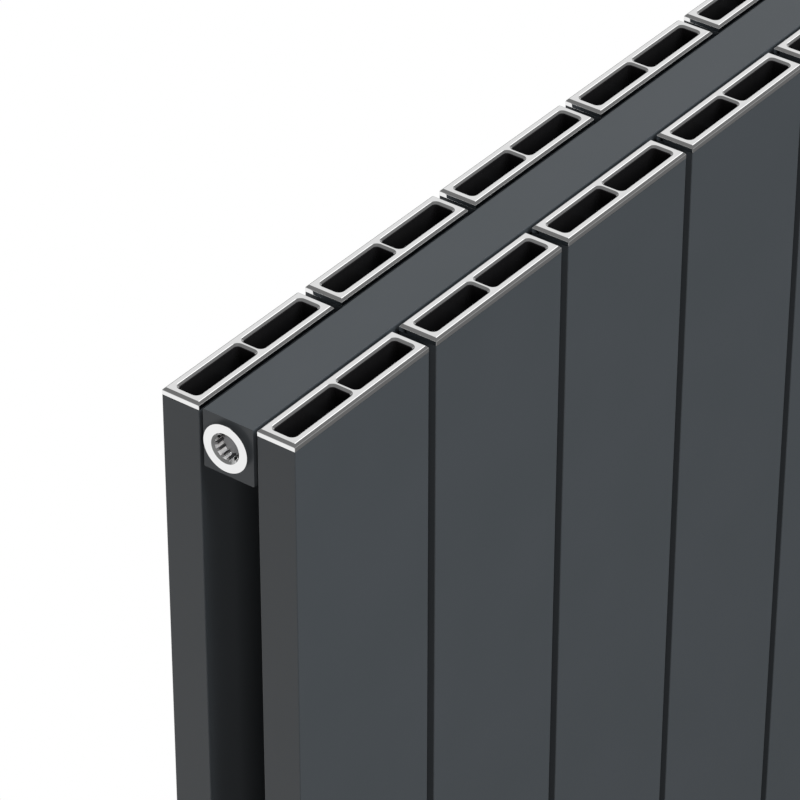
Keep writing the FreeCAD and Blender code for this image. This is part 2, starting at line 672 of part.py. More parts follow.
def draw_fold(sketch, middle, first_angle):
    """Quarter ring of the fold, from an angle, about a middle that lies one fold off the wall."""
    centre = Vector(size(middle), size(FOLD_REACH), 0)
    last_angle = first_angle + math.pi / 2
    reaches = (("outside", FOLD_REACH), ("inside", "sizes.bend_radius"))
    for number, (tag, radius) in enumerate(reaches):
        circle = Part.Circle(centre, Vector(0, 0, 1), size(radius))
        sketch.addGeometry(Part.ArcOfCircle(circle, first_angle, last_angle))
        hold(sketch, tag, radius, "Radius", number)
    for line, end in ((2, 2), (3, 1)):
        arcs = [sketch.Geometry[0], sketch.Geometry[1]]
        points = [arc.EndPoint if end == 2 else arc.StartPoint for arc in arcs]
        sketch.addGeometry(Part.LineSegment(*points))
        sketch.addConstraint(Sketcher.Constraint("Coincident", 0, end, line, 1))
        sketch.addConstraint(Sketcher.Constraint("Coincident", 1, end, line, 2))
    sketch.addConstraint(Sketcher.Constraint("Coincident", 0, 3, 1, 3))
    level_end, upright_end = (2, 1) if first_angle < 0 else (1, 2)
    for arc in (0, 1):
        sketch.addConstraint(Sketcher.Constraint("Horizontal", arc, 3, arc, level_end))
        sketch.addConstraint(Sketcher.Constraint("Vertical", arc, 3, arc, upright_end))
    hold(sketch, "across", middle, "DistanceX", -1, 1, 0, 3)
    hold(sketch, "up", FOLD_REACH, "DistanceY", -1, 1, 0, 3)


def make_bracket(label, turn, arm_offset, across, up):
    body = new_body(label, turn, across, "0", up)
    arm_on_the_left = arm_offset == "0"
    flange = new_sketch(body, "XZ_Plane", "flange")
    draw_rounded(
        flange,
        "edge",
        FOLD_REACH if arm_on_the_left else "0",
        "0",
        "sizes.bracket_width - %s" % FOLD_REACH,
        "sizes.bracket_height",
        "sizes.bracket_corner",
    )
    draw_circle(
        flange, "lock", "sizes.bracket_width / 2", "sizes.lock_hole_inset", "sizes.lock_hole_radius"
    )
    pad(flange, "sizes.bracket_thickness", reverse=True)
    wall_slot = new_sketch(body, "XZ_Plane", "wall_slot")
    level = size("sizes.bracket_height - sizes.wall_slot_inset")
    middle = size("sizes.bracket_width / 2")
    radius = size("sizes.wall_slot_width / 2")
    half = size("sizes.wall_slot_length / 2") - radius
    quarter = math.pi / 2
    for sign in (-1, 1):
        start = Vector(middle + sign * half, level + sign * radius, 0)
        end = Vector(middle - sign * half, level + sign * radius, 0)
        wall_slot.addGeometry(Part.LineSegment(start, end))
        circle = Part.Circle(Vector(middle - sign * half, level, 0), Vector(0, 0, 1), radius)
        wall_slot.addGeometry(Part.ArcOfCircle(circle, sign * quarter, (sign + 2) * quarter))
    for number in range(4):
        wall_slot.addConstraint(Sketcher.Constraint("Tangent", number, 2, (number + 1) % 4, 1))
    wall_slot.addConstraint(Sketcher.Constraint("Horizontal", 0))
    hold(wall_slot, "radius", "sizes.wall_slot_width / 2", "Radius", 1)
    hold(wall_slot, "travel", "sizes.wall_slot_length - sizes.wall_slot_width", "DistanceX", 3, 3, 1, 3)
    slot_half = "(sizes.wall_slot_length - sizes.wall_slot_width) / 2"
    hold(wall_slot, "across", "sizes.bracket_width / 2 - %s" % slot_half, "DistanceX", -1, 1, 3, 3)
    hold(wall_slot, "up", "sizes.bracket_height - sizes.wall_slot_inset", "DistanceY", -1, 1, 3, 3)
    pocket(wall_slot, "sizes.bracket_thickness")
    fold = new_sketch(body, "XY_Plane", "fold", "sizes.bracket_corner")
    if arm_on_the_left:
        draw_fold(fold, FOLD_REACH, math.pi)
    else:
        draw_fold(fold, "sizes.bracket_width - %s" % FOLD_REACH, -math.pi / 2)
    pad(fold, "sizes.bracket_height - 2 * sizes.bracket_corner")
    arm = new_sketch(body, "YZ_Plane", "arm", arm_offset)
    seat = "sizes.seat_height"
    tip = "%s + sizes.hook_lip" % ARM_FRONT
    draw_outline(
        arm,
        "edge",
        [
            (FOLD_REACH, "sizes.bracket_corner"),
            (ARM_BACK, "%s - sizes.arm_depth" % seat),
            (tip, "%s - sizes.arm_depth" % seat),
            (tip, "%s + sizes.hook_rise" % seat),
            (ARM_FRONT, "%s + sizes.hook_rise" % seat),
            (ARM_FRONT, seat),
            (ARM_BACK, seat),
            (ARM_BACK, "%s + sizes.arm_rise" % seat),
            ("sizes.wall_gap", "%s + sizes.arm_rise" % seat),
            (FOLD_REACH, "sizes.bracket_height - sizes.bracket_corner"),
        ],
    )
    plate = pad(arm, "sizes.bracket_thickness")
    corners = [
        (size(tip), size("%s - sizes.arm_depth" % seat)),
        (size(tip), size("%s + sizes.hook_rise" % seat)),
        (size(ARM_FRONT), size("%s + sizes.hook_rise" % seat)),
        (size(ARM_BACK), size("%s + sizes.arm_rise" % seat)),
        (size("sizes.wall_gap"), size("%s + sizes.arm_rise" % seat)),
    ]

    def at_a_corner(edge):
        box = edge.BoundBox
        straight_across = near(box.YLength, 0) and near(box.ZLength, 0)
        return straight_across and any(near(box.YMin, y) and near(box.ZMin, z) for y, z in corners)

    dress_edges(body, "Fillet", "hook_corners", plate, "sizes.hook_round", at_a_corner)
    return body


def make_liner(label, turn, across, up):
    """Plastic channel that keeps the header off the steel of a hook."""
    body = new_body(label, turn, across, "0", up)
    channel = new_sketch(body, "YZ_Plane", "channel", "-sizes.pad_width / 2")
    thick = "sizes.pad_thickness"
    top = "sizes.pad_thickness + sizes.pad_rise"
    inner_back, inner_front = "%s + %s" % (ARM_BACK, thick), "%s - %s" % (ARM_FRONT, thick)
    draw_outline(
        channel,
        "edge",
        [
            (ARM_BACK, "0"),
            (ARM_FRONT, "0"),
            (ARM_FRONT, top),
            (inner_front, top),
            (inner_front, thick),
            (inner_back, thick),
            (inner_back, top),
            (ARM_BACK, top),
        ],
    )
    pad(channel, "sizes.pad_width")
    return body


# The hooks go through the first and the last gap of the rear row, with their flanges inwards.
LEFT_GAP = "(sizes.column_width + sizes.column_gap / 2 - %s)" % HALF_WIDTH
FLANGE_LEVEL = "(%s - sizes.seat_height)" % SEAT_LEVEL
HALF_PLATE = "sizes.bracket_thickness / 2"
FAR_EDGE = "sizes.bracket_width - sizes.bracket_thickness"
LOW_ARM = "-%s" % HALF_PLATE
HIGH_ARM = "-(%s) - %s" % (FAR_EDGE, HALF_PLATE)
for label, turn, arm_offset, across, up in (
    ("top_left_bracket", TURNED_END_FOR_END, FAR_EDGE, "%s - (%s)" % (LEFT_GAP, HIGH_ARM), FLANGE_LEVEL),
    ("top_right_bracket", TURNED_END_FOR_END, "0", "-%s - (%s)" % (LEFT_GAP, LOW_ARM), FLANGE_LEVEL),
    ("bottom_left_bracket", TURNED_UPSIDE_DOWN, "0", "%s + %s" % (LEFT_GAP, LOW_ARM), "-" + FLANGE_LEVEL),
    (
        "bottom_right_bracket",
        TURNED_UPSIDE_DOWN,
        FAR_EDGE,
        "-%s + %s" % (LEFT_GAP, HIGH_ARM),
        "-" + FLANGE_LEVEL,
    ),
):
    make_bracket(label, turn, arm_offset, across, up)
liners = doc.addObject("Part::Compound", "bracket_liners")
liners.Label = "bracket_liners"
liners.Links = [
    make_liner("top_left_liner", TURNED_END_FOR_END, LEFT_GAP, SEAT_LEVEL),
    make_liner("top_right_liner", TURNED_END_FOR_END, "-" + LEFT_GAP, SEAT_LEVEL),
    make_liner("bottom_left_liner", TURNED_UPSIDE_DOWN, LEFT_GAP, "-" + SEAT_LEVEL),
    make_liner("bottom_right_liner", TURNED_UPSIDE_DOWN, "-" + LEFT_GAP, "-" + SEAT_LEVEL),
]

# ---- Check every object, then write one file for each piece -------------------------------------

doc.recompute()
for feature in doc.Objects:
    if "Invalid" in feature.State or "Error" in feature.State:
        raise RuntimeError("%s did not build" % feature.Label)
pieces = []
for feature in doc.Objects:
    if feature.TypeId in ("PartDesign::Body", "Part::Feature", "Part::Compound"):
        if feature not in liners.Links:
            pieces.append(feature)
for piece in pieces:
    if piece.Shape.isNull() or not piece.Shape.isValid():
        raise RuntimeError("%s has no sound shape" % piece.Label)
os.makedirs("parts", exist_ok=True)
for piece in pieces:
    piece.Shape.exportStep("parts/%s.step" % piece.Label)
print(len(pieces), "pieces written")
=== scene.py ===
import math

import bmesh
import bpy
from mathutils import Matrix, Vector


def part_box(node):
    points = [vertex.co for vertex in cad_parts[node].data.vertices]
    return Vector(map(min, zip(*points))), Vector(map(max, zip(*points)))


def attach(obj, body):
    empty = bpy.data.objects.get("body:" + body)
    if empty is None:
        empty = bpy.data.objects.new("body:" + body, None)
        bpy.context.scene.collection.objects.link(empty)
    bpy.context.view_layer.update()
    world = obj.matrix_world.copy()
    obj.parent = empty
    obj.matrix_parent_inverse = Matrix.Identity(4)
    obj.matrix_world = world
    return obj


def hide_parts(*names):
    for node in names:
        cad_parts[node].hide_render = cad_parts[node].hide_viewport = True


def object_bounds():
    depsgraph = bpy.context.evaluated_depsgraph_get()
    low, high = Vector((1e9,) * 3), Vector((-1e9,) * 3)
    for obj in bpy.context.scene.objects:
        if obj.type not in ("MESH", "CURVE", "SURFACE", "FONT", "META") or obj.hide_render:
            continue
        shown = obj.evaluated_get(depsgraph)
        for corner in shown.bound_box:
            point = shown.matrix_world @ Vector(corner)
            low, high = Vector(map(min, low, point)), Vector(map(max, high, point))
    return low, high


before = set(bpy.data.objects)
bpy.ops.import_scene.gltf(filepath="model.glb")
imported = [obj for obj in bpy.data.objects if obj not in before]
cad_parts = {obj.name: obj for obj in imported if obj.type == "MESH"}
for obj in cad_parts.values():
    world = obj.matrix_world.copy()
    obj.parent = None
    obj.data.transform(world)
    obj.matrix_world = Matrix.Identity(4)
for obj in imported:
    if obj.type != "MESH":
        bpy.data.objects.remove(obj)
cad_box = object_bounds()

# ---- The columns ---------------------------------------------------------------------------------
# Twelve flat aluminium extrusions, six to a row, each with two air flues beside a solid web. They
# are powder coated in anthracite before the caps go on: a polyester powder, cured to a fine satin
# with a very shallow orange peel. The solids of the frame are shown as they are.

MM = 0.001
COAT_DEEP = "#40464A"
COAT_LIGHT = "#44494E"
COAT_ROUGHNESS = 0.3
COAT_IOR = 1.36
CLOUD_WIDTH = 45 * MM
PEEL_WIDTH = 2.6 * MM
PEEL_HEIGHT = 0.006 * MM
GRAIN_WIDTH = 0.7 * MM


def linear(colour):
    """The linear colour, with alpha, of an sRGB hex value."""
    channels = [int(colour[start:start + 2], 16) / 255 for start in (1, 3, 5)]
    return [c / 12.92 if c <= 0.04045 else ((c + 0.055) / 1.055) ** 2.4 for c in channels] + [1]


def add(tree, kind, values=None, **settings):
    """Adds a shader node. Values are set on, or linked to, its input sockets."""
    made = tree.nodes.new("ShaderNode" + kind)
    for name, value in settings.items():
        setattr(made, name, value)
    for name, value in (values or {}).items():
        if isinstance(value, bpy.types.NodeSocket):
            tree.links.new(value, made.inputs[name])
        else:
            made.inputs[name].default_value = value
    return made


def new_material(name):
    """A material with no nodes yet, its node tree, and the object coordinates."""
    material = bpy.data.materials.new(name)
    material.use_nodes = True
    material.node_tree.nodes.clear()
    return material, material.node_tree, add(material.node_tree, "TexCoord").outputs["Object"]


def dress(material, *names):
    """Gives frame nodes that stay in view their material."""
    for name in names:
        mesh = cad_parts[name].data
        mesh.materials.clear()
        mesh.materials.append(material)


def powder_coat(name, deep, light, roughness):
    """Cured polyester powder: an even colour, slightly clouded, over a shallow orange peel."""
    material, tree, place = new_material(name)
    clouds = add(tree, "TexNoise", {"Vector": place, "Scale": 1 / CLOUD_WIDTH, "Detail": 2.0})
    peel = add(tree, "TexNoise", {"Vector": place, "Scale": 1 / PEEL_WIDTH, "Detail": 1.0})
    grain = add(tree, "TexNoise", {"Vector": place, "Scale": 1 / GRAIN_WIDTH, "Detail": 1.0})
    ends = {6: linear(deep), 7: linear(light)}
    colour = add(tree, "Mix", {0: clouds.outputs["Fac"], **ends}, data_type="RGBA")
    ends = {"From Min": 0.3, "From Max": 0.7, "To Min": roughness - 0.02, "To Max": roughness + 0.04}
    rough = add(tree, "MapRange", {"Value": grain.outputs["Fac"], **ends})
    bump = add(tree, "Bump", {"Height": peel.outputs["Fac"], "Distance": PEEL_HEIGHT})
    surface = {
        "Base Color": colour.outputs[2],
        "Roughness": rough.outputs[0],
        "Normal": bump.outputs["Normal"],
        "IOR": COAT_IOR,
    }
    shader = add(tree, "BsdfPrincipled", surface)
    add(tree, "OutputMaterial", {"Surface": shader.outputs[0]})
    return material


anthracite_coat = powder_coat("anthracite_powder_coat", COAT_DEEP, COAT_LIGHT, COAT_ROUGHNESS)
dress(anthracite_coat, *[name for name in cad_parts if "_column_" in name])

# ---- The headers ---------------------------------------------------------------------------------
# A square aluminium tube joins the two rows at the top and at the bottom, on turned steel nipples,
# and a threaded block is welded into each of its ends. Tube and blocks are coated with the columns.

STEEL = "#8F9093"
STEEL_SHADE = "#7C7D80"
TURNING_PITCH = 0.35 * MM
TURNING_LENGTH = 25 * MM
TURNING_HEIGHT = 0.01 * MM

dress(anthracite_coat, "top_header", "bottom_header", "top_left_end_block", "top_right_end_block")


def turned_metal(name, deep, light, roughness, along, metallic=1.0):
    """Machined metal: fine turning marks round the piece's own axis, spaced by the tool's feed."""
    material, tree, place = new_material(name)
    stretch = [1 / (TURNING_PITCH if axis == along else TURNING_LENGTH) for axis in "XYZ"]
    drawn = add(tree, "Mapping", {"Vector": place, "Scale": stretch})
    marks = add(tree, "TexNoise", {"Vector": drawn.outputs[0], "Scale": 1.0, "Detail": 1.0})
    ends = {6: linear(deep), 7: linear(light)}
    colour = add(tree, "Mix", {0: marks.outputs["Fac"], **ends}, data_type="RGBA")
    bump = add(tree, "Bump", {"Height": marks.outputs["Fac"], "Distance": TURNING_HEIGHT})
    surface = {
        "Base Color": colour.outputs[2],
        "Metallic": metallic,
        "Roughness": roughness,
        "Normal": bump.outputs["Normal"],
    }
    shader = add(tree, "BsdfPrincipled", surface)
    add(tree, "OutputMaterial", {"Surface": shader.outputs[0]})
    return material


turned_steel = turned_metal("turned_steel", STEEL_SHADE, STEEL, 0.32, "Y")
dress(turned_steel, "top_header_nipples", "bottom_header_nipples")

# ---- The end caps --------------------------------------------------------------------------------
# One cap on each end of each column: an ABS moulding with a bevelled frame, two bevelled slots and
# a collar below each slot. The frame is chrome plated and polished, so its flats and bevels are
# plain mirrors. The walls of the slots and the collars are coloured near black as a painted shade,
# standing for the deep shade inside the flues.

CAP_SIDE = 2.3 * MM
CAP_BEVEL = 1.15 * MM
CAP_RIM = 3.45 * MM
CAP_BRIDGE = 1.15 * MM
SLOT_BEVEL = 1.15 * MM
SLOT_CORNER = 1.85 * MM
FLUE_WALL = 2.4 * MM
COLLAR_INSET = 0.15 * MM
COLLAR_SPLIT = 0.6 * MM
COLLAR_CORNER = 2.45 * MM
PLATED_EDGE = 0.35 * MM
CORNER_STEPS = 8
NEAR = 0.02 * MM
CHROME = "#F2F2F2"
CHROME_SHADE = "#EBEBEB"
HAZE_WIDTH = 18 * MM
# Near-black painted shade for the slot walls and collars, with faint mould-drag streaks in it.
SLOT_PAINTED_SHADE = "#151516"
SLOT_PAINTED_SHADE_DRAG = "#1B1B1C"
ABS_ROUGHNESS = 0.16
DRAG_WIDTH = 0.8 * MM
DRAG_LENGTH = 16.7 * MM
DRAG_HEIGHT = 0.004 * MM


def start(name, primitive, **sizes):
    """Adds a primitive at its size and place, and opens it in edit mode, all of it selected."""
    bpy.ops.object.select_all(action="DESELECT")
    getattr(bpy.ops.mesh, "primitive_%s_add" % primitive)(**sizes)
    bpy.ops.object.transform_apply(location=True, rotation=True, scale=True)
    piece = bpy.context.object
    piece.name = piece.data.name = name
    bpy.ops.object.mode_set(mode="EDIT")
    return piece


def start_block(name, low, high):
    """A box between two corners, open in edit mode."""
    low, high = Vector(low), Vector(high)
    return start(name, "cube", size=1, location=(low + high) / 2, scale=high - low)


def choose(kind, test):
    """Selects the faces or edges whose middle, and normal or direction, pass the test."""
    bpy.ops.mesh.select_mode(type=kind)
    bpy.ops.mesh.select_all(action="DESELECT")
    mesh = bmesh.from_edit_mesh(bpy.context.object.data)
    chosen = 0
    for element in mesh.faces if kind == "FACE" else mesh.edges:
        middle = sum((corner.co for corner in element.verts), Vector()) / len(element.verts)
        if kind == "FACE":
            way = element.normal
        else:
            way = (element.verts[1].co - element.verts[0].co).normalized()
        if test(middle, way):
            element.select_set(True)
            chosen += 1
    mesh.select_flush_mode()
    bmesh.update_edit_mesh(bpy.context.object.data)
    if not chosen:
        raise RuntimeError("nothing was chosen on " + bpy.context.object.name)


def same(one, other):
    return abs(one - other) < NEAR


def push(across, along, up):
    """Extrudes the chosen face."""
    bpy.ops.mesh.extrude_region_move(TRANSFORM_OT_translate={"value": (across, along, up)})


def round_upright_edges(radius, steps=CORNER_STEPS):
    choose("EDGE", lambda middle, way: abs(way.z) > 0.9)
    bpy.ops.mesh.bevel(offset=radius, segments=steps, affect="EDGES")


def close():
    """Leaves edit mode with doubles merged and normals outwards."""
    bpy.ops.mesh.select_all(action="SELECT")
    bpy.ops.mesh.remove_doubles(threshold=0.001 * MM)
    bpy.ops.mesh.normals_make_consistent(inside=False)
    bpy.ops.object.mode_set(mode="OBJECT")


def modify(piece, kind, **settings):
    """Adds a modifier and applies it."""
    bpy.context.view_layer.objects.active = piece
    made = piece.modifiers.new(kind.lower(), kind)
    for name, value in settings.items():
        setattr(made, name, value)
    bpy.ops.object.modifier_apply(modifier=made.name)


def combine(piece, tool, operation):
    """Joins, or cuts away, another solid and removes it."""
    modify(piece, "BOOLEAN", object=tool, operation=operation, solver="EXACT")
    bpy.data.objects.remove(tool)


def finish_edges(piece, width, steps=3):
    """Rounds every sharp edge by a hair, with flat faces kept flat in the shading."""
    piece.data.shade_smooth()
    modify(
        piece,
        "BEVEL",
        width=width,
        segments=steps,
        limit_method="ANGLE",
        angle_limit=math.radians(25),
        miter_outer="MITER_ARC",
    )
    modify(piece, "WEIGHTED_NORMAL", weight=90, keep_sharp=True)


def paint(piece, slot, test):
    """Gives the faces that pass the test one of the piece's materials."""
    bpy.ops.object.mode_set(mode="EDIT")
    choose("FACE", test)
    piece.active_material_index = slot
    bpy.ops.object.material_slot_assign()
    bpy.ops.object.mode_set(mode="OBJECT")


def chrome_plate(name):
    """Bright decorative chrome: a neutral mirror, with only the faintest haze from polishing."""
    material, tree, place = new_material(name)
    haze = add(tree, "TexNoise", {"Vector": place, "Scale": 1 / HAZE_WIDTH, "Detail": 3.0})
    ends = {6: linear(CHROME_SHADE), 7: linear(CHROME)}
    colour = add(tree, "Mix", {0: haze.outputs["Fac"], **ends}, data_type="RGBA")
    ends = {"From Min": 0.3, "From Max": 0.7, "To Min": 0.035, "To Max": 0.06}
    rough = add(tree, "MapRange", {"Value": haze.outputs["Fac"], **ends})
    surface = {
        "Base Color": colour.outputs[2],
        "Metallic": 1.0,
        "Roughness": rough.outputs[0],
    }
    shader = add(tree, "BsdfPrincipled", surface)
    add(tree, "OutputMaterial", {"Surface": shader.outputs[0]})
    return material


def black_plastic(name, deep, light, roughness):
    """Near-black moulded plastic with the fine drag of the mould's walls; on the caps it is a
    painted shade.
    """
    material, tree, place = new_material(name)
    stretch = (1 / DRAG_WIDTH, 1 / DRAG_WIDTH, 1 / DRAG_LENGTH)
    drawn = add(tree, "Mapping", {"Vector": place, "Scale": stretch})
    lines = add(tree, "TexNoise", {"Vector": drawn.outputs[0], "Scale": 1.0, "Detail": 2.0})
    ends = {6: linear(deep), 7: linear(light)}
    colour = add(tree, "Mix", {0: lines.outputs["Fac"], **ends}, data_type="RGBA")
    bump = add(tree, "Bump", {"Height": lines.outputs["Fac"], "Distance": DRAG_HEIGHT})
    surface = {
        "Base Color": colour.outputs[2],
        "Roughness": roughness,
        "Normal": bump.outputs["Normal"],
        "IOR": 1.53,
    }
    shader = add(tree, "BsdfPrincipled", surface)
    add(tree, "OutputMaterial", {"Surface": shader.outputs[0]})
    return material


cap_low, cap_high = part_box("front_top_cap_1")
left, front, foot = cap_low
right, back, top = cap_high
middle_x, middle_y = (left + right) / 2, (front + back) / 2
seat = top - CAP_SIDE - CAP_BEVEL
collar_edge = FLUE_WALL + COLLAR_INSET
half_turn = (
    Matrix.Translation((middle_x, middle_y, 0))
    @ Matrix.Rotation(math.pi, 4, "Z")
    @ Matrix.Translation((-middle_x, -middle_y, 0))
)

cap = start_block("front_top_cap_1_plated", (left, front, seat), (right, back, top))
choose("EDGE", lambda middle, way: same(middle.z, top))
bpy.ops.mesh.bevel(offset=CAP_BEVEL, segments=1, affect="EDGES")
close()
for turn in (Matrix(), half_turn):
    low = (left + collar_edge, front + collar_edge, foot)
    high = (middle_x - COLLAR_SPLIT / 2, back - collar_edge, seat + MM)
    collar = start_block("collar", low, high)
    round_upright_edges(COLLAR_CORNER)
    close()
    low = (left + CAP_RIM, front + CAP_RIM, top)
    high = (middle_x - CAP_BRIDGE / 2, back - CAP_RIM, top + MM)
    mouth = start_block("mouth", low, high)
    round_upright_edges(SLOT_CORNER + SLOT_BEVEL)
    choose("FACE", lambda middle, way: way.z < -0.9)
    bpy.ops.mesh.inset(thickness=SLOT_BEVEL, depth=SLOT_BEVEL)
    push(0, 0, foot - top)
    close()
    for tool, operation in ((collar, "UNION"), (mouth, "DIFFERENCE")):
        tool.data.transform(turn)
        combine(cap, tool, operation)
finish_edges(cap, PLATED_EDGE)

chrome = chrome_plate("bright_chrome_plate_on_abs")
slot_shade_material = black_plastic("slot_painted_shade_abs", SLOT_PAINTED_SHADE, SLOT_PAINTED_SHADE_DRAG, ABS_ROUGHNESS)
cap.data.materials.append(chrome)
cap.data.materials.append(slot_shade_material)
facet_foot = top - 0.8 * SLOT_BEVEL
inside = CAP_RIM + SLOT_BEVEL / 2


# The faces that take the near-black painted shade: the collars, and the slot walls below the bevels.
def slot_shade_faces(middle, way):
    within = left + inside < middle.x < right - inside and front + inside < middle.y < back - inside
    return middle.z < seat + NEAR or (within and middle.z < facet_foot and abs(way.z) < 0.6)


paint(cap, 1, slot_shade_faces)
upside_down = Matrix.Rotation(math.pi, 4, "X")
for name in sorted(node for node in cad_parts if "_cap_" in node):
    if name == "front_top_cap_1":
        piece = cap
    else:
        piece = cap.copy()
        piece.data = cap.data.copy()
        piece.name = piece.data.name = name + "_plated"
        bpy.context.collection.objects.link(piece)
        if "_bottom_" in name:
            piece.data.transform(upside_down)
        corner = Vector(min(v.co[axis] for v in piece.data.vertices) for axis in range(3))
        piece.data.transform(Matrix.Translation(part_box(name)[0] - corner))
    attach(piece, "radiator")
    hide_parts(name)

# ---- The blanking plug ---------------------------------------------------------------------------
# A brass plug turned from bar and chrome plated, screwed into the upper left port on a flat rubber
# seal. Its flange shows. The key recess is drilled, countersunk and broached with twelve grooves.
# In the recess the colours carry painted light: the groove flats are a pale painted highlight, and
# the teeth and the bottom are a darker painted shade.

FLANGE_RADIUS = 11.3 * MM
FLANGE_THICKNESS = 2.2 * MM
MOUTH_RADIUS = 7.25 * MM
MOUTH_DEPTH = 1.75 * MM
KEY_RADIUS = 5.25 * MM
KEY_DEPTH = 5.9 * MM
SPLINE_COUNT = 12
SPLINE_WIDTH = 1.9 * MM
SPLINE_DEPTH = 0.85 * MM
SPLINE_START = math.radians(11.8)
SHANK_RADIUS = 9.2 * MM
SHANK_LENGTH = 10 * MM
TURNED_SIDES = 96
TURNED_EDGE = 0.12 * MM
# Darker painted shade for the teeth and the bottom of the key recess.
TEETH_PAINTED_SHADE = "#757576"
TEETH_PAINTED_SHADE_LIGHT = "#7F7F80"
BOTTOM_PAINTED_SHADE = "#717274"
BOTTOM_PAINTED_SHADE_LIGHT = "#797A7C"
# Pale painted highlight for the groove flats in the key recess.
GROOVE_PAINTED_HIGHLIGHT = "#ECEDEF"
GROOVE_PAINTED_HIGHLIGHT_LIGHT = "#F2F3F5"
RUBBER = "#151516"
RUBBER_WORN = "#1D1D1E"
BLOOM_WIDTH = 4 * MM
BLOOM_HEIGHT = 0.02 * MM

quarter_turn = (0, math.pi / 2, 0)


def start_turned(name, radius, near_x, far_x, centre, sides=TURNED_SIDES):
    """A round bar along X, open in edit mode."""
    middle = ((near_x + far_x) / 2, centre.y, centre.z)
    size = {"vertices": sides, "radius": radius, "depth": far_x - near_x}
    return start(name, "cylinder", location=middle, rotation=quarter_turn, **size)


def choose_end(towards, x):
    """Selects the flat end of a turned piece that faces along X."""
    choose("FACE", lambda middle, way: way.x * towards > 0.9 and same(middle.x, x))


plug_low, plug_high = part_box("blanking_plug")
plug_face = plug_low.x
block_face = plug_face + FLANGE_THICKNESS
port = Vector((0, (plug_low.y + plug_high.y) / 2, (plug_low.z + plug_high.z) / 2))
plug_centre = port + Vector((plug_face, 0, 0))
plug = start_turned("blanking_plug_turned", FLANGE_RADIUS, plug_face, block_face, port)
choose_end(-1, plug_face)
bpy.ops.mesh.inset(thickness=FLANGE_RADIUS - MOUTH_RADIUS)
bpy.ops.mesh.inset(thickness=MOUTH_RADIUS - KEY_RADIUS, depth=-MOUTH_DEPTH)
push(KEY_DEPTH - MOUTH_DEPTH, 0, 0)
choose_end(1, block_face)
bpy.ops.mesh.inset(thickness=FLANGE_RADIUS - SHANK_RADIUS)
push(SHANK_LENGTH, 0, 0)
close()
inner, outer = KEY_RADIUS - 2 * SPLINE_DEPTH, KEY_RADIUS + SPLINE_DEPTH
low = (plug_face - MM, port.y - SPLINE_WIDTH / 2, port.z + inner)
high = (plug_face + KEY_DEPTH, port.y + SPLINE_WIDTH / 2, port.z + outer)
broach = start_block("broach", low, high)
first_turn, next_turn = math.radians(90) - SPLINE_START, 2 * math.pi / SPLINE_COUNT
bpy.ops.transform.rotate(value=first_turn, orient_axis="X", center_override=plug_centre)
for groove in range(SPLINE_COUNT - 1):
    bpy.ops.mesh.duplicate()
    bpy.ops.transform.rotate(value=next_turn, orient_axis="X", center_override=plug_centre)
close()
combine(plug, broach, "DIFFERENCE")
finish_edges(plug, TURNED_EDGE)


def from_axis(middle):
    return math.hypot(middle.y - port.y, middle.z - port.z)


def recess_wall(middle, way):
    deep = plug_face + NEAR < middle.x < plug_face + KEY_DEPTH + NEAR
    return deep and abs(way.x) < 0.4 and from_axis(middle) < MOUTH_RADIUS - NEAR


def recess_bottom(middle, way):
    return way.x < -0.9 and middle.x > plug_face + KEY_DEPTH - NEAR


def groove_flat(middle, way):
    open_part = middle.x < plug_face + KEY_DEPTH - NEAR
    outer_part = KEY_RADIUS + 0.6 * SPLINE_DEPTH < from_axis(middle) < MOUTH_RADIUS - MM / 2
    return recess_wall(middle, way) and open_part and outer_part


plug_chrome = chrome_plate("bright_chrome_plate_on_brass")
plug.data.materials.append(plug_chrome)
# Lit and shaded copies of the plating on the recess faces: painted shade on the teeth and bottom, a
# painted highlight on the groove flats.
for slot, (name, deep, light, roughness, metallic, test) in enumerate((
    ("plug_teeth_painted_shade", TEETH_PAINTED_SHADE, TEETH_PAINTED_SHADE_LIGHT, 0.3, 1.0, recess_wall),
    ("drilled_plated_bottom", BOTTOM_PAINTED_SHADE, BOTTOM_PAINTED_SHADE_LIGHT, 0.5, 0.15, recess_bottom),
    ("plug_grooves_painted_highlight", GROOVE_PAINTED_HIGHLIGHT, GROOVE_PAINTED_HIGHLIGHT_LIGHT, 0.3, 0.3, groove_flat),
), start=1):
    plug.data.materials.append(turned_metal(name, deep, light, roughness, "X", metallic))
    paint(plug, slot, test)
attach(plug, "radiator")
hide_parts("blanking_plug")


def rubber(name, deep, light):
    """Moulded rubber: dull black, bloomed in small patches."""
    material, tree, place = new_material(name)
    bloom = add(tree, "TexNoise", {"Vector": place, "Scale": 1 / BLOOM_WIDTH, "Detail": 3.0})
    ends = {6: linear(deep), 7: linear(light)}
    colour = add(tree, "Mix", {0: bloom.outputs["Fac"], **ends}, data_type="RGBA")
    bump = add(tree, "Bump", {"Height": bloom.outputs["Fac"], "Distance": BLOOM_HEIGHT})
    surface = {
        "Base Color": colour.outputs[2],
        "Roughness": 0.7,
        "Normal": bump.outputs["Normal"],
        "IOR": 1.52,
    }
    shader = add(tree, "BsdfPrincipled", surface)
    add(tree, "OutputMaterial", {"Surface": shader.outputs[0]})
    return material


dress(rubber("black_rubber", RUBBER, RUBBER_WORN), "plug_seal", "vent_seal")

# ---- The vent plug -------------------------------------------------------------------------------
# The same plug with a neck for the nozzle ring, in the upper right port. A lip keeps the ring on,
# and the well in its end gives a radiator key room round the bleed screw's head.

NECK_RADIUS = 6 * MM
NECK_LENGTH = 7 * MM
LIP_RADIUS = 6.8 * MM
LIP_THICKNESS = 1 * MM
WELL_RADIUS = 4.3 * MM
WELL_DEPTH = 5 * MM
SPINDLE_HOLE = 2.55 * MM
SPINDLE_HOLE_DEPTH = 1 * MM

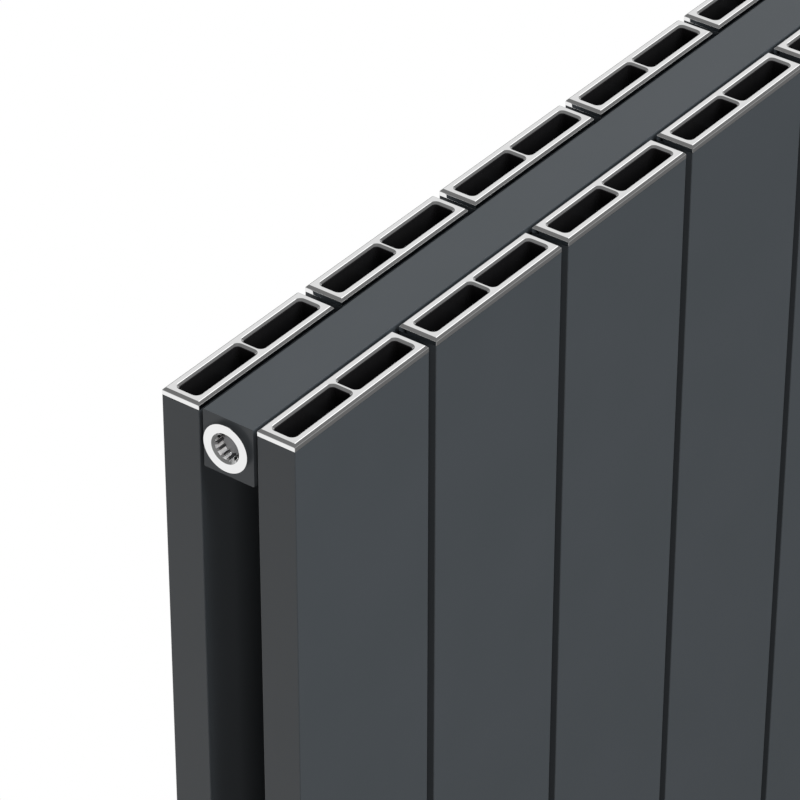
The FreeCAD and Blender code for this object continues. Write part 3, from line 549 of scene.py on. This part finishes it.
vent_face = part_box("vent_plug")[1].x
flange_face = vent_face - LIP_THICKNESS - NECK_LENGTH
header_end = flange_face - FLANGE_THICKNESS
vent = start_turned("vent_plug_turned", FLANGE_RADIUS, header_end, flange_face, port)
choose_end(1, flange_face)
bpy.ops.mesh.inset(thickness=FLANGE_RADIUS - NECK_RADIUS)
push(NECK_LENGTH, 0, 0)
# A second ring of edges at the same place grows into the lip's inner face.
push(0, 0, 0)
grow = LIP_RADIUS / NECK_RADIUS
bpy.ops.transform.resize(
    value=(1, grow, grow), center_override=(vent_face - LIP_THICKNESS, port.y, port.z)
)
push(LIP_THICKNESS, 0, 0)
bpy.ops.mesh.inset(thickness=LIP_RADIUS - WELL_RADIUS)
push(-WELL_DEPTH, 0, 0)
bpy.ops.mesh.inset(thickness=WELL_RADIUS - SPINDLE_HOLE)
push(-SPINDLE_HOLE_DEPTH, 0, 0)
choose_end(-1, header_end)
bpy.ops.mesh.inset(thickness=FLANGE_RADIUS - SHANK_RADIUS)
push(-SHANK_LENGTH, 0, 0)
close()
finish_edges(vent, TURNED_EDGE)
vent.data.materials.append(plug_chrome)
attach(vent, "radiator")
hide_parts("vent_plug")

# ---- The connection ports ------------------------------------------------------------------------
# The lower end blocks, left open for the pipes: each is welded into the header with a spigot,
# counterbored for a flat seal and tapped G1/2, fourteen threads to the inch. The coat stops at the
# seat, and the tapped bore is left as bright cut aluminium.

SPIGOT_LENGTH = 6 * MM
SPIGOT_INSET = 2.65 * MM
BLOCK_EDGE = 0.6 * MM
PORT_RADIUS = 9.3 * MM
SEAT_RADIUS = 10.9 * MM
SEAT_DEPTH = 1.5 * MM
THREAD_PITCH = 1.814 * MM
THREAD_DEPTH = 1.16 * MM
THREAD_OVERLAP = 0.3 * MM
THREAD_TURNS = 7
THREAD_STEPS = 72
THREAD_EDGE = 0.06 * MM
FLANK = math.radians(27.5)
CUT_ALUMINIUM = "#A4A5A7"
CUT_ALUMINIUM_LIGHT = "#B4B5B7"


def start_bar(name, low, high, one_x, other_x, inset=0):
    """A bar along X between two places, within a box's sides, open in edit mode."""
    near_x, far_x = sorted((one_x, other_x))
    near = (near_x, low.y + inset, low.z + inset)
    return start_block(name, near, (far_x, high.y - inset, high.z - inset))


cut_aluminium = turned_metal("cut_aluminium", CUT_ALUMINIUM, CUT_ALUMINIUM_LIGHT, 0.3, "X")
for name, outward in (("bottom_left_end_block", -1), ("bottom_right_end_block", 1)):
    block_low, block_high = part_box(name)
    outer_end = block_low.x if outward < 0 else block_high.x
    inner_end = block_high.x if outward < 0 else block_low.x
    shoulder = inner_end + outward * SPIGOT_LENGTH
    axis = Vector((0, port.y, -port.z))
    block = start_bar(name + "_tapped", block_low, block_high, outer_end, shoulder)
    choose("EDGE", lambda middle, way: abs(way.x) > 0.9)
    bpy.ops.mesh.bevel(offset=BLOCK_EDGE, segments=4, affect="EDGES")
    close()
    in_block = shoulder + outward * MM
    spigot = start_bar("spigot", block_low, block_high, in_block, inner_end, SPIGOT_INSET)
    close()
    combine(block, spigot, "UNION")
    mouth_x = outer_end + outward * MM
    seat_x = outer_end - outward * SEAT_DEPTH
    for radius, end_x in ((PORT_RADIUS, inner_end - outward * MM), (SEAT_RADIUS, seat_x)):
        bore = start_turned("bore", radius, *sorted((mouth_x, end_x)), axis)
        close()
        combine(block, bore, "DIFFERENCE")
    height = THREAD_DEPTH + THREAD_OVERLAP
    tap = start(
        "tap",
        "circle",
        vertices=3,
        radius=height / 1.5,
        rotation=(math.pi / 2, 0, 0),
        location=(0, 0, PORT_RADIUS - THREAD_OVERLAP + height / 3),
    )
    bpy.ops.mesh.select_all(action="SELECT")
    bpy.ops.transform.resize(value=(math.sqrt(3) * math.tan(FLANK), 1, 1))
    close()
    modify(
        tap,
        "SCREW",
        axis="X",
        screw_offset=THREAD_PITCH,
        iterations=THREAD_TURNS,
        steps=THREAD_STEPS,
        render_steps=THREAD_STEPS,
    )
    bpy.ops.object.mode_set(mode="EDIT")
    bpy.ops.mesh.select_all(action="SELECT")
    bpy.ops.mesh.fill_holes(sides=3)
    close()
    thread_x = min(seat_x, seat_x - outward * THREAD_TURNS * THREAD_PITCH)
    tap.data.transform(Matrix.Translation(axis + Vector((thread_x, 0, 0))))
    combine(block, tap, "DIFFERENCE")
    finish_edges(block, THREAD_EDGE, 2)
    block.data.materials.append(anthracite_coat)
    block.data.materials.append(cut_aluminium)

    def machined(middle, way):
        in_port = math.hypot(middle.y - axis.y, middle.z - axis.z) < SEAT_RADIUS - NEAR
        return in_port and abs(middle.x - outer_end) > 0.1 * MM

    paint(block, 1, machined)
    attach(block, "radiator")
    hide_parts(name)

# ---- The nozzle ring -----------------------------------------------------------------------------
# A moulded acetal ring that swivels on the vent's neck, so that its drain spout can be turned down
# over a cup. Shallow flutes round the ring give the fingers a grip.

NOZZLE_CLEARANCE = 0.05 * MM
SPOUT_RADIUS = 2 * MM
SPOUT_BORE = 1 * MM
FLUTE_COUNT = 30
FLUTE_DEPTH = 0.35 * MM
MOULDED_EDGE = 0.1 * MM
ACETAL = "#C9C9C6"
ACETAL_SHADE = "#BEBEBB"
FLOW_WIDTH = 6 * MM
FLOW_HEIGHT = 0.02 * MM

ring_low, ring_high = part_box("nozzle_ring")
ring_radius = ring_high.z - port.z
ring_middle = (ring_low.x + ring_high.x) / 2
ring_sides = 4 * FLUTE_COUNT
ring = start_turned("nozzle_ring_moulded", ring_radius, ring_low.x, ring_high.x, port, ring_sides)


def fluted(middle, way):
    turn = math.atan2(middle.y - port.y, middle.z - port.z) / (2 * math.pi)
    return abs(way.x) < 0.1 and math.floor(turn * ring_sides) % 4 == 1


choose("FACE", fluted)
shrink = 1 - FLUTE_DEPTH / ring_radius
bpy.ops.transform.resize(value=(1, shrink, shrink), center_override=(ring_middle, port.y, port.z))
close()
spout = start(
    "spout",
    "cylinder",
    vertices=48,
    radius=SPOUT_RADIUS,
    depth=port.z - ring_low.z,
    location=(ring_middle, port.y, (port.z + ring_low.z) / 2),
)
close()
combine(ring, spout, "UNION")
bearing = start_turned(
    "bearing", NECK_RADIUS + NOZZLE_CLEARANCE, ring_low.x - MM, ring_high.x + MM, port
)
close()
combine(ring, bearing, "DIFFERENCE")
drain = start(
    "drain",
    "cylinder",
    vertices=32,
    radius=SPOUT_BORE,
    depth=port.z - ring_low.z + MM,
    location=(ring_middle, port.y, (port.z + ring_low.z - MM) / 2),
)
close()
combine(ring, drain, "DIFFERENCE")
finish_edges(ring, MOULDED_EDGE)


def pale_plastic(name, deep, light):
    """Moulded acetal: off white and waxy, with a trace of flow in it."""
    material, tree, place = new_material(name)
    flow = add(tree, "TexNoise", {"Vector": place, "Scale": 1 / FLOW_WIDTH, "Detail": 2.0})
    ends = {6: linear(deep), 7: linear(light)}
    colour = add(tree, "Mix", {0: flow.outputs["Fac"], **ends}, data_type="RGBA")
    bump = add(tree, "Bump", {"Height": flow.outputs["Fac"], "Distance": FLOW_HEIGHT})
    surface = {
        "Base Color": colour.outputs[2],
        "Roughness": 0.38,
        "Normal": bump.outputs["Normal"],
        "IOR": 1.48,
    }
    shader = add(tree, "BsdfPrincipled", surface)
    add(tree, "OutputMaterial", {"Surface": shader.outputs[0]})
    return material


ring.data.materials.append(pale_plastic("pale_grey_acetal", ACETAL_SHADE, ACETAL))
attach(ring, "nozzle")
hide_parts("nozzle_ring")

# ---- The bleed screw -----------------------------------------------------------------------------
# A turned brass spindle with a square head for a radiator key and a slot for a driver. It is screwed
# in at the bottom of the vent's well, and half a turn opens it to let the air out.

SPINDLE_RADIUS = 2.5 * MM
HEAD_SIDE = 5 * MM
HEAD_LENGTH = 6.5 * MM
HEAD_EDGE = 0.2 * MM
SPINDLE_OVERLAP = 0.5 * MM
DRIVER_SLOT = 1 * MM
DRIVER_SLOT_DEPTH = 1.6 * MM
BRASS = "#C9A35C"
BRASS_SHADE = "#B8924E"

screw_low, screw_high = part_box("bleed_screw")
head_foot = screw_high.x - HEAD_LENGTH
half = HEAD_SIDE / 2
screw = start_block(
    "bleed_screw_turned",
    (head_foot, port.y - half, port.z - half),
    (screw_high.x, port.y + half, port.z + half),
)
close()
low = (screw_high.x - DRIVER_SLOT_DEPTH, port.y - HEAD_SIDE, port.z - DRIVER_SLOT / 2)
high = (screw_high.x + MM, port.y + HEAD_SIDE, port.z + DRIVER_SLOT / 2)
slot_cut = start_block("slot_cut", low, high)
close()
combine(screw, slot_cut, "DIFFERENCE")
spindle_end = head_foot + SPINDLE_OVERLAP
spindle = start_turned("spindle", SPINDLE_RADIUS, screw_low.x, spindle_end, port, sides=48)
close()
combine(screw, spindle, "UNION")
finish_edges(screw, HEAD_EDGE)
screw.data.materials.append(turned_metal("turned_brass", BRASS_SHADE, BRASS, 0.25, "X"))
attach(screw, "vent_screw")
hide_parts("bleed_screw")

# ---- The wall brackets ---------------------------------------------------------------------------
# Four hooks folded from 3 mm steel plate and powder coated dark, with a nylon liner under each
# header. They stay as they are in the frame.

BRACKET_DEEP = "#232527"
BRACKET_LIGHT = "#27292C"
BRACKET_ROUGHNESS = 0.5
NYLON = "#131314"
NYLON_LIGHT = "#1A1A1B"
NYLON_ROUGHNESS = 0.5

bracket_coat = powder_coat("dark_powder_coat", BRACKET_DEEP, BRACKET_LIGHT, BRACKET_ROUGHNESS)
dress(bracket_coat, *[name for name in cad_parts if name.endswith("_bracket")])
black_nylon = black_plastic("black_moulded_nylon", NYLON, NYLON_LIGHT, NYLON_ROUGHNESS)
dress(black_nylon, "bracket_liners")

# ---- The studio ----------------------------------------------------------------------------------
# The radiator hangs over a pale floor, lit by a large soft lamp in front, weaker ones beside, over
# and behind it, and a snoot that reaches into the plug's recess. The lamps don't show in the chrome:
# it mirrors a surround of pale walls, softboxes, a white floor and dark flags.

VIEW = Vector((0.657701, 0.493301, -0.569284))
VIEWPOINT = Vector((-1.1675, -0.9281, 1.0547))
LENS = 205.74
FLOOR_GAP = 0.12
FLOOR_SIDE = 16
SHADOW_REACH = {"From Min": 0.3, "From Max": 0.6}
AMBIENT = 0.14
SOFT = {"interpolation_type": "SMOOTHSTEP"}
SNOOT_DISTANCE = 0.8
SNOOT_ANGLE = 1.1
SNOOT_OPENING = 0.002

camera = bpy.data.objects.new("camera", bpy.data.cameras.new("camera"))
bpy.context.collection.objects.link(camera)
camera.location = Vector((left, front, top)) + VIEWPOINT
camera.rotation_euler = VIEW.to_track_quat("-Z", "Y").to_euler()
camera.data.lens = LENS
camera.data.sensor_width = 36
camera.data.clip_start = 0.05
camera.data.clip_end = 60
bpy.context.scene.camera = camera
bpy.context.scene.view_settings.view_transform = "Standard"

# The floor takes the shadow near the radiator, and further off it is as white as the background.
floor_level = cad_box[0].z - FLOOR_GAP
floor = start("floor", "plane", size=FLOOR_SIDE, location=(0, 0, floor_level))
close()
material, tree, place = new_material("pale_floor")
path = add(tree, "LightPath")
flat = add(tree, "Mapping", {"Vector": place, "Location": (0, 0, -floor_level), "Scale": (1, 1, 0)})
away = add(tree, "VectorMath", {0: flat.outputs[0]}, operation="LENGTH")
fade = add(tree, "MapRange", {"Value": away.outputs["Value"], **SHADOW_REACH}, **SOFT)
seen = {0: fade.outputs[0], 1: path.outputs["Is Camera Ray"]}
share = add(tree, "Math", seen, operation="MULTIPLY")
pale = add(tree, "BsdfDiffuse", {"Color": linear("#F2F2F2")})
white = add(tree, "Emission", {"Color": linear("#FFFFFF"), "Strength": 1.0})
mixed = add(tree, "MixShader", {0: share.outputs[0], 1: pale.outputs[0], 2: white.outputs[0]})
add(tree, "OutputMaterial", {"Surface": mixed.outputs[0]})
floor.data.materials.append(material)
floor.visible_glossy = False
floor.visible_diffuse = False


def patch(tree, direction, centre, full, gone):
    """A soft round patch of the surround: 1 within one angle of its centre, 0 beyond another."""
    centre = Vector(centre).normalized()
    facing = add(tree, "VectorMath", {0: direction, 1: centre}, operation="DOT_PRODUCT")
    edge = {"From Min": math.cos(math.radians(gone)), "From Max": math.cos(math.radians(full))}
    return add(tree, "MapRange", {"Value": facing.outputs["Value"], **edge}, **SOFT).outputs[0]


world = bpy.data.worlds.new("studio")
bpy.context.scene.world = world
world.use_nodes = True
world.cycles.sampling_method = "NONE"
tree = world.node_tree
tree.nodes.clear()
direction = add(tree, "TexCoord").outputs["Generated"]
height = add(tree, "SeparateXYZ", {0: direction}).outputs["Z"]
lower_wall = add(tree, "MapRange", {"Value": height, "From Min": 0.3, "From Max": 0.1}, **SOFT)
below = add(tree, "MapRange", {"Value": height, "From Min": -0.02, "From Max": -0.12}, **SOFT)
white_part = patch(tree, direction, (-0.66, 0.49, -0.57), 40, 60)
white_floor = add(tree, "Mix", {0: white_part, 2: 0.3, 3: 0.98})
softbox = patch(tree, direction, (0.675, 0.35, 0.63), 20, 30)
bright_softbox = patch(tree, direction, (0.66, -0.05, 0.75), 11, 17)
right_flag = patch(tree, direction, (0.66, -0.49, -0.57), 20, 36)
left_flag = patch(tree, direction, (-0.65, -0.7, 0.2), 40, 55)
low_flag = patch(tree, direction, (-0.2, -0.5, -0.85), 30, 45)
level = 0.18
for share, strength in (
    (lower_wall.outputs[0], 0.45),
    (softbox, 0.83),
    (bright_softbox, 1.5),
    (below.outputs[0], white_floor.outputs[0]),
    (right_flag, 0.14),
    (left_flag, 0.2),
    (low_flag, 0.17),
):
    level = add(tree, "Mix", {0: share, 2: level, 3: strength}).outputs[0]
path = add(tree, "LightPath")
level = add(tree, "Mix", {0: path.outputs["Is Glossy Ray"], 2: AMBIENT, 3: level}).outputs[0]
seen = {0: path.outputs["Is Camera Ray"], 1: path.outputs["Is Transmission Ray"]}
clear = add(tree, "Math", seen, operation="MAXIMUM")
level = add(tree, "Mix", {0: clear.outputs[0], 2: level, 3: 1.0}).outputs[0]
background = add(tree, "Background", {"Color": linear("#FFFFFF"), "Strength": level})
add(tree, "OutputWorld", {"Surface": background.outputs[0]})


def hang_lamp(name, kind, aim, heading, distance):
    """A lamp in a direction from the place it is aimed at, kept out of sight and out of mirrors."""
    lamp = bpy.data.objects.new(name, bpy.data.lights.new(name, kind))
    bpy.context.collection.objects.link(lamp)
    heading = Vector(heading).normalized()
    lamp.location = aim + heading * distance
    lamp.rotation_euler = heading.to_track_quat("Z", "Y").to_euler()
    lamp.visible_glossy = False
    lamp.visible_camera = False
    return lamp


# A lamp's share is how bright it makes white paper that faces it.
for name, heading, distance, size, share, colour in (
    ("front_lamp", (0.15, -0.7, 0.7), 6, 4.8, 1.085, "#FFFFFF"),
    ("side_lamp", (-0.7, -0.6, 0.35), 3, 1.2, 0.305, "#FFF5EF"),
    ("overhead_lamp", (0, 0, 1), 6, 4, 0.105, "#FFFFFF"),
    ("back_lamp", (0.6, 0.8, 0.1), 3, 2, 0.5, "#FFFFFF"),
):
    lamp = hang_lamp(name, "AREA", Vector(), heading, distance)
    lamp.data.size = size
    lamp.data.color = linear(colour)[:3]
    lamp.data.energy = math.pi ** 2 * distance ** 2 * share

snoot = hang_lamp("snoot", "SPOT", plug_centre, (-0.72, -0.3, 0.62), SNOOT_DISTANCE)
snoot.data.spot_size = math.radians(SNOOT_ANGLE)
snoot.data.spot_blend = 0.4
snoot.data.shadow_soft_size = SNOOT_OPENING
snoot.data.energy = 4 * math.pi ** 2 * SNOOT_DISTANCE ** 2 * 0.7
